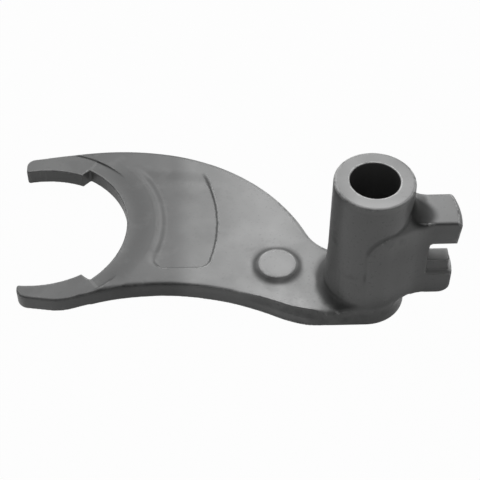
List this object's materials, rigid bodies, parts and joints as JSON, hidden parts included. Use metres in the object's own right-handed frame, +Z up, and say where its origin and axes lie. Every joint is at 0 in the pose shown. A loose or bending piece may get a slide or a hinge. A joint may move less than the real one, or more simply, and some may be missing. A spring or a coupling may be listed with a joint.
{
  "type": "transmission shift fork",
  "caption": "One-piece forged shift fork: rail hub, flat plate with two curved pads round an open throat, and a slotted selector lug.",
  "frame": {"origin": "on the axis of the rail bore, in the plane of the hub's lower face, which is also the underside of the plate", "axes": "+Z up the rail bore, +X out along the selector lug, the open mouth of the fork toward -X"},
  "size_m": [0.2399, 0.1314, 0.0886],
  "materials": {
    "forged_steel": "as forged, satin, with worn edges"
  },
  "bodies": {
    "root": {"shift_fork": "forged_steel"}
  },
  "joints": []
}
